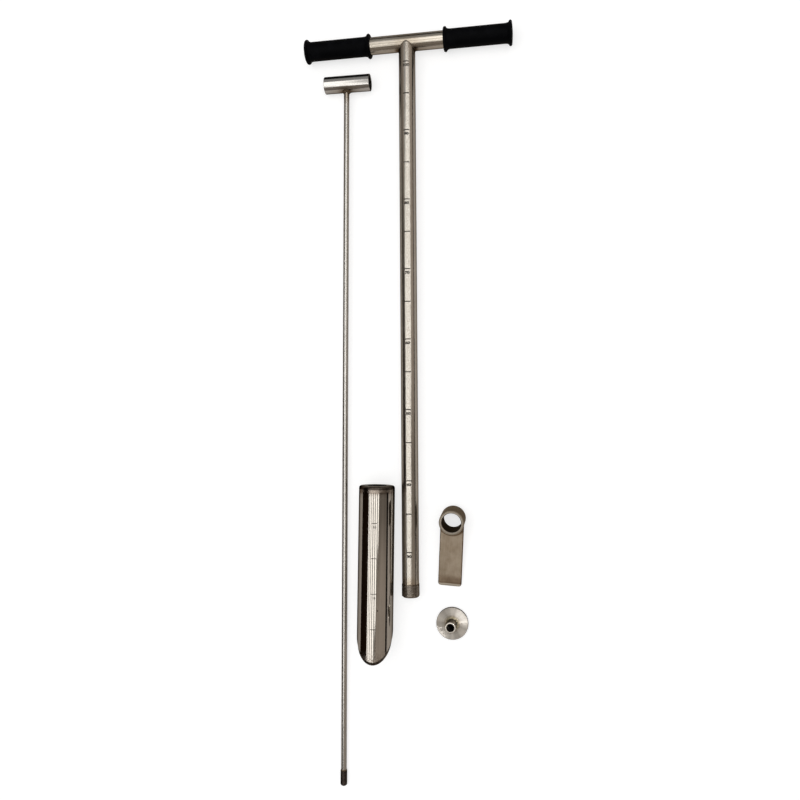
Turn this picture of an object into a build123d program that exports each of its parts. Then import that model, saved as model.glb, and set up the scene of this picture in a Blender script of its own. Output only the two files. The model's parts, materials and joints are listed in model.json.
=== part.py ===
from build123d import *
import os
from math import asin, atan, atan2, cos, degrees, hypot, pi, radians, sin, sqrt

os.makedirs("parts", exist_ok=True)

# A soil sampler taken apart and laid out on a floor, in millimetres.
# +X is right, +Y is towards the T-handle and +Z is up. The floor is Z = 0.
# The origin is the middle of the floor area that the kit covers.

# Tube stock of the T-handle and of the push rod's cross handle
tube_dia = 24.0
tube_wall = 2.0
deburr = 0.4  # broken edges on cut tube ends

# T-handle
tube_reach = 778.0  # crossbar axis to the lower end of the main tube
handle_span = 304.0  # over the closed ends of both grips
tee_bead = 0.9  # radius of the weld bead round the coped joint
cope_gap = 0.05  # fit-up gap of the coped tube ends

# Moulded grips
grip_length = 98.5
grip_wall = 1.45
grip_flange = 3.6  # height of the flanges over the grip's body
grip_rim = 2.3  # rounding of the flange rims
grip_flare = 5.2  # length of the flare from the body to a rim
grip_end_wall = 4.0
grip_dome = 1.0  # bulge of the closed end
grip_fit = 0.05  # gap between the grip and the tube inside it

# Threaded nipple at the lower end of the main tube
nipple_step = 0.5  # the thread's crests stand this far outside the tube
nipple_length = 18.0
nipple_chamfer = 2.0
nipple_play = 2.25  # gap round the rod's thread in the nipple's bore
nipple_spigot = 18.0  # part of the nipple inside the tube
spigot_fit = 0.05  # gap round the spigots of the nipple and the head
nipple_relief = 1.0  # plain neck between the tube's end and the thread
nipple_bead = 0.4  # height of the weld on the tube's end
nipple_bead_width = 1.4

# Push rod
rod_dia = 8.0
rod_length = 1016.0  # cross handle axis to the end of the thread
push_handle_length = 67.7
push_handle_shift = 1.5  # the rod is welded this far from the middle of its cross handle
tip_step = 0.75  # the thread's crests stand this far outside the rod
tip_length = 20.0
tip_chamfer = 1.5
rod_play = 0.5  # gap round the thread where the rod passes through the crossbar
rod_bead = 2.8  # leg of the fillet weld at the cross handle
tip_bead = 0.7  # height of the butt weld behind the thread
tip_bead_width = 2.4

# Sampling tube
barrel_dia = 50.8
barrel_wall = 2.0
barrel_length = 245.35  # top of the head to the point of the tongue
tongue = 32.0  # from the level where the oblique cut crosses the sides to the point
tongue_bevel = 1.4  # how much of the wall the ground edge takes
tongue_bevel_run = 5.0  # how far the ground edge reaches back along the tube
head_height = 12.0
head_spigot = 9.0  # part of the head inside the tube
head_shoulder = 3.6  # rounding of the head's top edge
head_thread_fit = 0.15  # gap between the nipple's crests and the head's hole
head_mouth = 0.8  # lead-in chamfer of that hole
head_groove = 1.2  # depth of the welded groove between head and tube

# Foot pedal
collar_wall = 4.1
collar_fit = 1.4  # loose gap round the main tube, so that the collar tilts and grips
collar_length = 28.0
collar_lead = 1.1  # lead-in chamfer of the bore's upper end
plate_inset = 1.0  # the plate's sides lie this far inside the collar's
plate_thickness = 4.0
plate_reach = 94.7  # collar axis to the end of the plate
plate_level = 13.0  # collar's lower end to the underside of the plate
plate_corner = 4.0
plate_edge = 1.6  # rounding of the plate's worn edges
pedal_bead = 2.2  # leg of the fillet welds between plate and collar

# Piston that screws on the push rod
piston_play = 0.9  # gap round the piston inside the sampling tube
piston_thickness = 5.0
piston_edge = 0.5
boss_wall = 2.6
boss_height = 24.0
boss_edge = 0.7
tip_thread_fit = 0.15  # gap between the rod's thread crests and the hole
boss_mouth = 0.6
boss_bead = 1.8  # leg of the fillet weld round the boss

# Where the loose pieces lie
handle_gap = 21.8  # between the grips and the push rod's cross handle
barrel_gap = 7.75  # between the main tube and the sampling tube
barrel_rise = 139.3  # lower end of the main tube to the top of the sampling tube
rod_gap = 20.65  # between the sampling tube and the push rod's axis
pedal_gap = 31.0  # between the main tube and the pedal's collar
pedal_rise = 92.9  # lower end of the main tube to the collar's axis
piston_gap = 23.0  # between the main tube's line and the piston
piston_drop = 30.95  # between the end of the plate and the piston
rod_yaw = radians(-0.48)
barrel_yaw = radians(-1.08)
barrel_roll = radians(4.0)  # the tongue is turned a little to the right
pedal_yaw = radians(-3.8)

# Sizes that follow from the ones above
tube_r = tube_dia / 2
tube_bore_r = tube_r - tube_wall
sleeve_r = tube_r + grip_fit
grip_r = sleeve_r + grip_wall
flange_r = grip_r + grip_flange
nipple_r = tube_r + nipple_step
nipple_end = tube_reach + nipple_length
rod_r = rod_dia / 2
tip_r = rod_r + tip_step
rod_hole_r = tip_r + rod_play
nipple_bore_r = tip_r + nipple_play
tip_start = rod_length - tip_length
barrel_r = barrel_dia / 2
barrel_bore_r = barrel_r - barrel_wall
head_hole_r = nipple_r + head_thread_fit
collar_bore_r = tube_r + collar_fit
collar_r = collar_bore_r + collar_wall
plate_width = 2 * (collar_r - plate_inset)
piston_r = barrel_bore_r - piston_play
boss_hole_r = tip_r + tip_thread_fit
boss_r = boss_hole_r + boss_wall
crossbar_length = handle_span - 2 * grip_end_wall
through = 4 * tube_dia  # cuts that run right through a piece


def lean_of(high_radius, low_radius, run):
    """Angle of a bar that lies on a large round at one end and a small one at the other."""
    return asin(high_radius / hypot(run, low_radius)) - atan2(low_radius, run)


def lying_plane(x, y, z, yaw, lean):
    """Plane at a bar's end: its normal runs down the bar, its x lies flat across it."""
    down = (sin(yaw) * cos(lean), -cos(yaw) * cos(lean), -sin(lean))
    return Plane(origin=(x, y, z), x_dir=(cos(yaw), sin(yaw), 0), z_dir=down)


def turned(plane, angle):
    """The same plane turned about its own normal."""
    x_dir = plane.x_dir * cos(angle) + plane.y_dir * sin(angle)
    return Plane(origin=plane.origin, x_dir=x_dir, z_dir=plane.z_dir)


# The rod's cross handle lies on the floor, and so do the grips and both threads
handle_lean = lean_of(flange_r, nipple_r, nipple_end - nipple_chamfer)
rod_lean = lean_of(tube_r, tip_r, rod_length - tip_chamfer)
rod_drop = flange_r + handle_gap + tube_r
rod_run = rod_length * cos(rod_lean) * cos(rod_yaw)
kit_length = flange_r + rod_drop + rod_run
handle_y = kit_length / 2 - flange_r
tube_end_y = handle_y - tube_reach
barrel_x = -(tube_r + barrel_gap + barrel_r)
rod_x = barrel_x - barrel_r - rod_gap

handle_plane = lying_plane(0, handle_y, flange_r, 0, handle_lean)
rod_plane = lying_plane(rod_x, handle_y - rod_drop, tube_r, rod_yaw, rod_lean)
barrel_flat = lying_plane(barrel_x, tube_end_y + barrel_rise, barrel_r, barrel_yaw, 0)
barrel_plane = turned(barrel_flat, -barrel_roll)


def lengthwise(plane):
    """Plane through a bar's axis: x runs outwards from the axis, y runs down the bar."""
    return Plane(origin=plane.origin, x_dir=plane.x_dir, z_dir=-plane.y_dir)


def crosswise(plane):
    """Plane square to a bar's own cross direction, at the same origin."""
    return Plane(origin=plane.origin, x_dir=plane.y_dir, z_dir=plane.x_dir)


def axis_of(plane):
    """The axis that a plane's normal runs along."""
    return Axis(plane.origin, plane.z_dir)


def ring_area(outer, inner):
    """Ring-shaped section in the sketch that is open."""
    Circle(outer)
    Circle(inner, mode=Mode.SUBTRACT)


def finish(piece, name):
    """Name a finished piece and write its file."""
    piece.part.label = name
    export_step(piece.part, f"parts/{name}.step")


# Main tube, coped at the top to sit on the crossbar
with BuildPart() as main_tube:
    with BuildSketch(handle_plane):
        ring_area(tube_r, tube_bore_r)
    extrude(amount=tube_reach)
    with BuildSketch(crosswise(handle_plane)):
        Circle(tube_r + cope_gap)
    extrude(amount=through, both=True, mode=Mode.SUBTRACT)
finish(main_tube, "main_tube")

# Crossbar, bored through both walls for the push rod
with BuildPart() as crossbar:
    with BuildSketch(crosswise(handle_plane)):
        ring_area(tube_r, tube_bore_r)
    extrude(amount=crossbar_length / 2, both=True)
    with BuildSketch(handle_plane):
        Circle(rod_hole_r)
    extrude(amount=tube_dia, both=True, mode=Mode.SUBTRACT)
finish(crossbar, "crossbar")

# Weld round the tee. The seam of two equal tubes is two half ellipses in planes at 45 degrees.
with BuildPart() as tee_weld:
    for side in (1, -1):
        slant = handle_plane.x_dir * side + handle_plane.z_dir
        seam_plane = Plane(handle_plane.origin, x_dir=slant, z_dir=slant.cross(handle_plane.y_dir))
        with BuildLine(seam_plane) as seam:
            EllipticalCenterArc((0, 0), tube_r * sqrt(2), tube_r, -90, arc_size=180)
        with BuildSketch(Plane(seam.line @ 0, z_dir=seam.line % 0)):
            Circle(tee_bead)
        sweep(path=seam.line)
    with BuildSketch(handle_plane):
        Circle(tube_r)
    extrude(amount=through, mode=Mode.SUBTRACT)
    with BuildSketch(crosswise(handle_plane)):
        Circle(tube_r)
    extrude(amount=through, both=True, mode=Mode.SUBTRACT)
finish(tee_weld, "tee_weld")

# Grips: closed rubber sleeves with a flared flange at each end
for side, name in ((-1, "left_grip"), (1, "right_grip")):
    outwards = handle_plane.x_dir * side
    section = Plane(handle_plane.origin, x_dir=outwards, z_dir=handle_plane.z_dir * side)
    inner_end = handle_span / 2 - grip_length
    outer_end = handle_span / 2
    rim_end = outer_end - grip_dome
    rim_r = flange_r - grip_rim
    with BuildPart() as grip:
        with BuildSketch(section):
            with BuildLine():
                Line((inner_end, sleeve_r), (inner_end, rim_r))
                inner_rim = inner_end + 2 * grip_rim
                ThreePointArc((inner_end, rim_r), (inner_end + grip_rim, flange_r), (inner_rim, rim_r))
                TangentArc((inner_rim + grip_flare, grip_r), (inner_rim, rim_r), tangent=(-1, 0))
                outer_rim = rim_end - 2 * grip_rim
                Line((inner_rim + grip_flare, grip_r), (outer_rim - grip_flare, grip_r))
                TangentArc((outer_rim - grip_flare, grip_r), (outer_rim, rim_r), tangent=(1, 0))
                ThreePointArc((outer_rim, rim_r), (outer_rim + grip_rim, flange_r), (rim_end, rim_r))
                TangentArc((outer_end, 0), (rim_end, rim_r), tangent=(0, 1))
                bore_end = outer_end - grip_end_wall
                Polyline((outer_end, 0), (bore_end, 0), (bore_end, sleeve_r), (inner_end, sleeve_r))
            make_face()
        revolve(axis=Axis(handle_plane.origin, outwards))
    finish(grip, name)

# Threaded nipple: a plug in the tube's end, bored for the push rod
with BuildPart() as threaded_nipple:
    with BuildSketch(handle_plane.offset(tube_reach - nipple_spigot)):
        ring_area(tube_bore_r - spigot_fit, nipple_bore_r)
    extrude(amount=nipple_spigot)
    with BuildSketch(handle_plane.offset(tube_reach)):
        ring_area(tube_r, nipple_bore_r)
    extrude(amount=nipple_relief)
    with BuildSketch(handle_plane.offset(tube_reach + nipple_relief)):
        ring_area(nipple_r, nipple_bore_r)
    extrude(amount=nipple_length - nipple_relief)
    end_edges = threaded_nipple.edges().filter_by(GeomType.CIRCLE).sort_by(axis_of(handle_plane))[-2:]
    chamfer(end_edges.sort_by(SortBy.RADIUS)[-1], nipple_chamfer)
    chamfer(end_edges.sort_by(SortBy.RADIUS)[0], deburr)
finish(threaded_nipple, "threaded_nipple")

# Low weld bead over the seam of tube and nipple
with BuildPart() as nipple_weld:
    bead_start = tube_reach - nipple_bead_width / 2
    bead_end = tube_reach + nipple_bead_width / 2
    with BuildSketch(lengthwise(handle_plane)):
        with BuildLine():
            ThreePointArc((tube_r, bead_start), (tube_r + nipple_bead, tube_reach), (tube_r, bead_end))
            Line((tube_r, bead_end), (tube_r, bead_start))
        make_face()
    revolve(axis=axis_of(handle_plane))
finish(nipple_weld, "nipple_weld")

# Push rod, coped to its cross handle
with BuildPart() as push_rod:
    with BuildSketch(rod_plane):
        Circle(rod_r)
    extrude(amount=tip_start)
    with BuildSketch(crosswise(rod_plane)):
        Circle(tube_r + cope_gap)
    extrude(amount=through, both=True, mode=Mode.SUBTRACT)
finish(push_rod, "push_rod")

# Cross handle of the push rod: a short open tube
with BuildPart() as push_handle:
    with BuildSketch(crosswise(rod_plane).offset(push_handle_shift - push_handle_length / 2)):
        ring_area(tube_r, tube_bore_r)
    extrude(amount=push_handle_length)
    chamfer(push_handle.edges().filter_by(GeomType.CIRCLE), deburr)
finish(push_handle, "push_handle")

# Fillet weld where the rod meets its cross handle
with BuildPart() as push_handle_weld:
    with BuildSketch(lengthwise(rod_plane)):
        Polygon(
            (rod_r, tube_r - rod_bead),
            (rod_r + rod_bead, tube_r - rod_bead),
            (rod_r + rod_bead, tube_r),
            (rod_r, tube_r + rod_bead),
            align=None,
        )
    revolve(axis=axis_of(rod_plane))
    with BuildSketch(crosswise(rod_plane)):
        Circle(tube_r)
    extrude(amount=through, both=True, mode=Mode.SUBTRACT)
finish(push_handle_weld, "push_handle_weld")

# Threaded tip of the push rod
with BuildPart() as push_rod_tip:
    with BuildSketch(rod_plane.offset(tip_start)):
        Circle(tip_r)
    extrude(amount=tip_length)
    chamfer(push_rod_tip.edges().filter_by(GeomType.CIRCLE).sort_by(axis_of(rod_plane))[-1], tip_chamfer)
finish(push_rod_tip, "push_rod_tip")

# Butt weld behind the thread
with BuildPart() as tip_weld:
    with BuildSketch(lengthwise(rod_plane)):
        Polygon(
            (rod_r, tip_start),
            (tip_r, tip_start),
            (rod_r + tip_bead, tip_start - tip_bead_width / 2),
            (rod_r, tip_start - tip_bead_width),
            align=None,
        )
    revolve(axis=axis_of(rod_plane))
finish(tip_weld, "tip_weld")

# Sampling tube: an oblique cut leaves a long tongue on the upper side, ground to an edge
with BuildPart() as barrel:
    with BuildSketch(barrel_plane.offset(head_height)):
        ring_area(barrel_r, barrel_bore_r)
    extrude(amount=barrel_length - head_height)
    with BuildSketch(lengthwise(barrel_plane)):
        Polygon(
            (barrel_bore_r, head_height),
            (barrel_r, head_height),
            (barrel_r, head_height + head_groove),
            (barrel_r - head_groove, head_height),
            align=None,
        )
    revolve(axis=axis_of(barrel_plane), mode=Mode.SUBTRACT)
    cut_middle = barrel_plane.origin + barrel_plane.z_dir * (barrel_length - tongue)
    cut_normal = barrel_plane.z_dir * barrel_r - barrel_plane.y_dir * tongue
    split(bisect_by=Plane(cut_middle, x_dir=barrel_plane.x_dir, z_dir=cut_normal), keep=Keep.BOTTOM)
    cut_face = barrel.faces().filter_by(GeomType.PLANE).sort_by(axis_of(barrel_plane))[-1]
    outer_edge = cut_face.outer_wire().edges()
    chamfer(outer_edge, tongue_bevel, tongue_bevel_run, reference=cut_face)
finish(barrel, "barrel")

# Head of the sampling tube: a turned plug with the hole that takes the nipple
with BuildPart() as barrel_head:
    with BuildSketch(barrel_plane):
        ring_area(barrel_r, head_hole_r)
    extrude(amount=head_height)
    head_edges = barrel_head.edges().filter_by(GeomType.CIRCLE).sort_by(axis_of(barrel_plane))
    top_edges = head_edges[:2].sort_by(SortBy.RADIUS)
    bottom_edges = head_edges[-2:].sort_by(SortBy.RADIUS)
    fillet(top_edges[-1], head_shoulder)
    chamfer(top_edges[0], head_mouth)
    chamfer(bottom_edges[-1], head_groove)
    with BuildSketch(barrel_plane.offset(head_height)):
        ring_area(barrel_bore_r - spigot_fit, head_hole_r)
    extrude(amount=head_spigot)
finish(barrel_head, "barrel_head")

# Weld that fills the groove between head and tube, ground flush
with BuildPart() as head_weld:
    with BuildSketch(lengthwise(barrel_plane)):
        Polygon(
            (barrel_r, head_height - head_groove),
            (barrel_r, head_height + head_groove),
            (barrel_r - head_groove, head_height),
            align=None,
        )
    revolve(axis=axis_of(barrel_plane))
finish(head_weld, "head_weld")

# The pedal leans on the lower edge of its collar and on the end of its plate
pedal_lean = atan(plate_level / (plate_reach - collar_r))
pedal_y = tube_end_y + pedal_rise
pedal_plane = Plane(
    origin=(tube_r + pedal_gap + collar_r, pedal_y, collar_r * sin(pedal_lean)),
    x_dir=(cos(pedal_yaw), sin(pedal_yaw), 0),
    z_dir=(sin(pedal_yaw) * sin(pedal_lean), -cos(pedal_yaw) * sin(pedal_lean), cos(pedal_lean)),
)

# Collar that slides on the main tube
with BuildPart() as pedal_collar:
    with BuildSketch(pedal_plane):
        ring_area(collar_r, collar_bore_r)
    extrude(amount=collar_length)
    rims = pedal_collar.edges().filter_by(GeomType.CIRCLE).sort_by(axis_of(pedal_plane))
    upper_rims = rims[2:].sort_by(SortBy.RADIUS)
    chamfer(upper_rims[0], collar_lead)
    chamfer(rims[:2] + upper_rims[1:], deburr)
finish(pedal_collar, "pedal_collar")

# Foot plate, cut to the collar at one end and rounded at the other
with BuildPart() as pedal_plate:
    with BuildSketch(pedal_plane.offset(plate_level)) as plate_outline:
        with Locations((0, -plate_reach / 2)):
            Rectangle(plate_width, plate_reach)
        fillet(plate_outline.vertices().group_by(Axis.Y)[0], plate_corner)
        Circle(collar_r, mode=Mode.SUBTRACT)
    extrude(amount=plate_thickness)
    plate_top = pedal_plate.faces().sort_by(axis_of(pedal_plane))[-1]
    from_collar = Axis(pedal_plane.origin, -pedal_plane.y_dir)
    worn_edges = plate_top.edges().sort_by(from_collar)[1:]  # all but the edge at the collar
    fillet(worn_edges, plate_edge)
finish(pedal_plate, "pedal_plate")

# Fillet welds above and below the plate, along the collar
with BuildPart() as pedal_weld:
    half_arc = asin(plate_width / 2 / collar_r)
    weld_start = turned(pedal_plane, -pi / 2 - half_arc)
    for level, rise in ((plate_level + plate_thickness, pedal_bead), (plate_level, -pedal_bead)):
        with BuildSketch(lengthwise(weld_start)):
            Polygon(
                (collar_r, level),
                (collar_r + pedal_bead, level),
                (collar_r, level + rise),
                align=None,
            )
        revolve(axis=axis_of(pedal_plane), revolution_arc=degrees(2 * half_arc))
finish(pedal_weld, "pedal_weld")

# Piston disc, which slides inside the sampling tube
piston_x = tube_r + piston_gap + piston_r
piston_y = pedal_y - plate_reach - piston_drop - piston_r
piston_plane = Plane(origin=(piston_x, piston_y, 0))
with BuildPart() as piston_disc:
    with BuildSketch(piston_plane):
        Circle(piston_r)
    extrude(amount=piston_thickness)
    chamfer(piston_disc.edges().filter_by(GeomType.CIRCLE), piston_edge)
finish(piston_disc, "piston_disc")

# Boss that takes the push rod's thread
with BuildPart() as piston_boss:
    with BuildSketch(piston_plane.offset(piston_thickness)):
        ring_area(boss_r, boss_hole_r)
    extrude(amount=boss_height)
    boss_rims = piston_boss.edges().filter_by(GeomType.CIRCLE).sort_by(Axis.Z)[-2:].sort_by(SortBy.RADIUS)
    fillet(boss_rims[-1], boss_edge)
    chamfer(boss_rims[0], boss_mouth)
finish(piston_boss, "piston_boss")

# Fillet weld round the boss
with BuildPart() as piston_weld:
    with BuildSketch(lengthwise(piston_plane)):
        Polygon(
            (boss_r, piston_thickness),
            (boss_r + boss_bead, piston_thickness),
            (boss_r, piston_thickness + boss_bead),
            align=None,
        )
    revolve(axis=axis_of(piston_plane))
finish(piston_weld, "piston_weld")
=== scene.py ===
import json
import bmesh
import bpy
from math import ceil, cos, floor, hypot, pi, radians, sin, sqrt
from mathutils import Matrix, Vector, noise


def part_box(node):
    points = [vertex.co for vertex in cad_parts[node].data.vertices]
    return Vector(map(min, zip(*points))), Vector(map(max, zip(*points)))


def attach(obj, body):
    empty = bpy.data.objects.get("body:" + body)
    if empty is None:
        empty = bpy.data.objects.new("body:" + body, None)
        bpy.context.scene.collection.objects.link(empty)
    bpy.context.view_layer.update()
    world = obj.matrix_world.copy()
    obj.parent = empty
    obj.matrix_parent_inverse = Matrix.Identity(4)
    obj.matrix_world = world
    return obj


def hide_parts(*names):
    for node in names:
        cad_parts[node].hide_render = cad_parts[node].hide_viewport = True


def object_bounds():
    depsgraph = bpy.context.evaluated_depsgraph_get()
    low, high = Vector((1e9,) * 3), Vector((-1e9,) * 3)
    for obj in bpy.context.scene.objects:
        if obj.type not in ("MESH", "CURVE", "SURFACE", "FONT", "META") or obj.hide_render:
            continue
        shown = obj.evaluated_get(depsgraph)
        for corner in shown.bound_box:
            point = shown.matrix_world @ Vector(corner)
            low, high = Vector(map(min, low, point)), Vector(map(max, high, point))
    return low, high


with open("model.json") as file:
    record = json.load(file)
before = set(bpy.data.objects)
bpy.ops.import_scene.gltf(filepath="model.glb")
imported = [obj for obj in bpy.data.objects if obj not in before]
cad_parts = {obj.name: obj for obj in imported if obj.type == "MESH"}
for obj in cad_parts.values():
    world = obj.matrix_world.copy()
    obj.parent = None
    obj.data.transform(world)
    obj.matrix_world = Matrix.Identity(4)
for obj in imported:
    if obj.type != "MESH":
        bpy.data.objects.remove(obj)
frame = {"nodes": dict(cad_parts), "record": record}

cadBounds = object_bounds()
scene = bpy.context.scene
nodes = frame["nodes"]
mounts = {m["name"]: m for m in frame["record"]["mounts"]}
mm = 0.001


# Places of the five items, read from the CAD

def axisFrame(origin, down, side):
    z = Vector(down).normalized()
    x = (Vector(side) - z * z.dot(Vector(side))).normalized()
    place = Matrix((x, z.cross(x), z)).transposed().to_4x4()
    place.translation = origin
    return place


def middleOf(name):
    low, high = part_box(name)
    return (low + high) / 2


def localPoints(name, place):
    back = place.inverted()
    return [back @ v.co for v in nodes[name].data.vertices]


def spanOf(name, place):
    found = localPoints(name, place)
    levels = [p.z for p in found]
    radii = [hypot(p.x, p.y) for p in found]
    return {"start": min(levels), "end": max(levels), "inner": min(radii), "outer": max(radii)}


def mountAxis(name):
    return Vector(mounts[name]["axis"])


def mountPoint(name):
    return Vector(mounts[name]["pos_m"])


handlePlace = axisFrame(middleOf("crossbar"), mountAxis("nipple_thread"), (1, 0, 0))

# The rod isn't quite in the middle of its cross handle
rodDown = mountAxis("rod_thread")
rodPoint = mountPoint("rod_thread")
rodCross = rodPoint + rodDown * rodDown.dot(middleOf("push_handle") - rodPoint)
rodPlace = axisFrame(rodCross, rodDown, (1, 0, 0))

# The sampling tube's frame is turned so that the tongue is on its local +y side
barrelDown = -mountAxis("head_socket")
socketPlace = axisFrame(mountPoint("head_socket"), barrelDown, (1, 0, 0))
tonguePoint = max(localPoints("barrel", socketPlace), key=lambda p: p.z)
tongueUp = socketPlace.to_3x3() @ Vector((tonguePoint.x, tonguePoint.y, 0))
barrelTop = socketPlace @ Vector((0, 0, spanOf("barrel_head", socketPlace)["start"]))
barrelPlace = axisFrame(barrelTop, barrelDown, tongueUp.cross(barrelDown))

# The collar's frame starts at its lower end, with the plate on its local -y side
boreUp = mountAxis("collar_bore")
borePlace = axisFrame(mountPoint("collar_bore"), boreUp, (1, 0, 0))
collarEnd = borePlace @ Vector((0, 0, spanOf("pedal_collar", borePlace)["start"]))
pedalPlace = axisFrame(collarEnd, boreUp, boreUp.cross(middleOf("pedal_plate") - collarEnd))

pistonPlace = axisFrame(mountPoint("piston_socket") * Vector((1, 1, 0)), (0, 0, 1), (1, 0, 0))
print("places", [tuple(round(c, 4) for c in p.translation) for p in
                 (handlePlace, rodPlace, barrelPlace, pedalPlace, pistonPlace)])


# Helpers for shader nodes

def addNode(tree, kind, inputs=None, **settings):
    node = tree.nodes.new(kind)
    for key, value in settings.items():
        setattr(node, key, value)
    for key, value in (inputs or {}).items():
        if isinstance(value, bpy.types.NodeSocket):
            tree.links.new(value, node.inputs[key])
        else:
            node.inputs[key].default_value = value
    return node


def newMaterial(name):
    mat = bpy.data.materials.new(name)
    mat.use_nodes = True
    mat.node_tree.nodes.clear()
    return mat, mat.node_tree


def localCoords(tree, place):
    coords = addNode(tree, "ShaderNodeTexCoord").outputs["Object"]
    return addNode(tree, "ShaderNodeMapping", {
        "Vector": coords, "Location": place.translation, "Rotation": place.to_euler()},
        vector_type="TEXTURE").outputs["Vector"]


def noiseNode(tree, vector, scale, detail=4.0, rough=0.55):
    return addNode(tree, "ShaderNodeTexNoise", {
        "Vector": vector, "Scale": scale, "Detail": detail, "Roughness": rough}).outputs["Fac"]


def ranged(tree, value, fromLow, fromHigh, toLow, toHigh, soft=False):
    return addNode(tree, "ShaderNodeMapRange", {
        "Value": value, "From Min": fromLow, "From Max": fromHigh, "To Min": toLow, "To Max": toHigh},
        interpolation_type="SMOOTHSTEP" if soft else "LINEAR").outputs["Result"]


def mixColor(tree, factor, a, b, blend="MIX"):
    return addNode(tree, "ShaderNodeMix", {0: factor, 6: a, 7: b}, data_type="RGBA", blend_type=blend).outputs[2]


def mixFloat(tree, factor, a, b):
    return addNode(tree, "ShaderNodeMix", {0: factor, 2: a, 3: b}, data_type="FLOAT").outputs[0]


def mathNode(tree, operation, a, b=0.0):
    return addNode(tree, "ShaderNodeMath", {0: a, 1: b}, operation=operation).outputs["Value"]


def blended(tree, a, share, b):
    return mathNode(tree, "ADD", mathNode(tree, "MULTIPLY", a, share), mathNode(tree, "MULTIPLY", b, 1 - share))


def vectorNode(tree, operation, a, b=(0, 0, 0), output="Vector"):
    return addNode(tree, "ShaderNodeVectorMath", {0: a, 1: b}, operation=operation).outputs[output]


def rgb(r, g, b):
    return (r, g, b, 1.0)


# A zone of a surface: what is near a place in the item's own frame, or what faces a direction

def zoneMask(tree, coords, patch, zone):
    if "towards" in zone:
        normal = addNode(tree, "ShaderNodeTexCoord").outputs["Normal"]
        aim = vectorNode(tree, "DOT_PRODUCT", normal, zone["towards"], "Value")
        return ranged(tree, aim, zone["low"], zone["high"], 0.0, zone["amount"], True)
    offset = vectorNode(tree, "SUBTRACT", coords, zone["at"])
    away = vectorNode(tree, "LENGTH", vectorNode(tree, "MULTIPLY", offset, zone["weight"]), output="Value")
    stray = mathNode(tree, "MULTIPLY", mathNode(tree, "SUBTRACT", patch, 0.5), zone.get("wander", 0.0))
    mask = ranged(tree, mathNode(tree, "ADD", away, stray), zone["reach"], zone["core"], 0.0, zone["amount"], True)
    if "grit" in zone:
        spots = ranged(tree, noiseNode(tree, coords, zone["grit"], 5.0, 0.65), 0.42, 0.58, 0.0, 1.0, True)
        mask = mathNode(tree, "MULTIPLY", mask, spots)
    return mask


# Colour set by which way a face turns: used for painted light and shade
def facing(towards, low, high, amount, color, **more):
    return dict({"towards": towards, "low": low, "high": high, "amount": amount, "color": color}, **more)


def nearPlace(at, weight, reach, core, amount, color, **more):
    return dict({"at": at, "weight": weight, "reach": reach, "core": core, "amount": amount, "color": color},
                **more)


def nearLevel(level, reach, amount, color):
    return nearPlace((0, 0, level), (0, 0, 1), reach, reach * 0.15, amount, color, wander=reach)


def nearSpot(at, reach, amount, color, wander=0.6):
    return nearPlace(at, (1, 1, 1), reach, reach * 0.2, amount, color, wander=reach * wander)


def nearAxis(reach, core, amount, color, **more):
    return nearPlace((0, 0, 0), (1, 1, 0), reach, core, amount, color, **more)


# Painted shade: a dark, rougher colour over the inside of a bore or hole, where shade falls
def insideOf(radius, color):
    return nearAxis(radius + 0.5 * mm, radius + 0.2 * mm, 1.0, color, blend="MIX", rough=0.6)


# Steel with streaks along the drawing direction or round a lathe axis, dull patches, pits and zones, with sectors
# of painted sheen round the axis where asked; several zones carry painted light and shade

steelGrain = {"fine": 3.7, "pitScale": 1400.0, "relief": 0.03 * mm, "sheenSpokeScale": 1.7, "latheTurn": 0.25}


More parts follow.
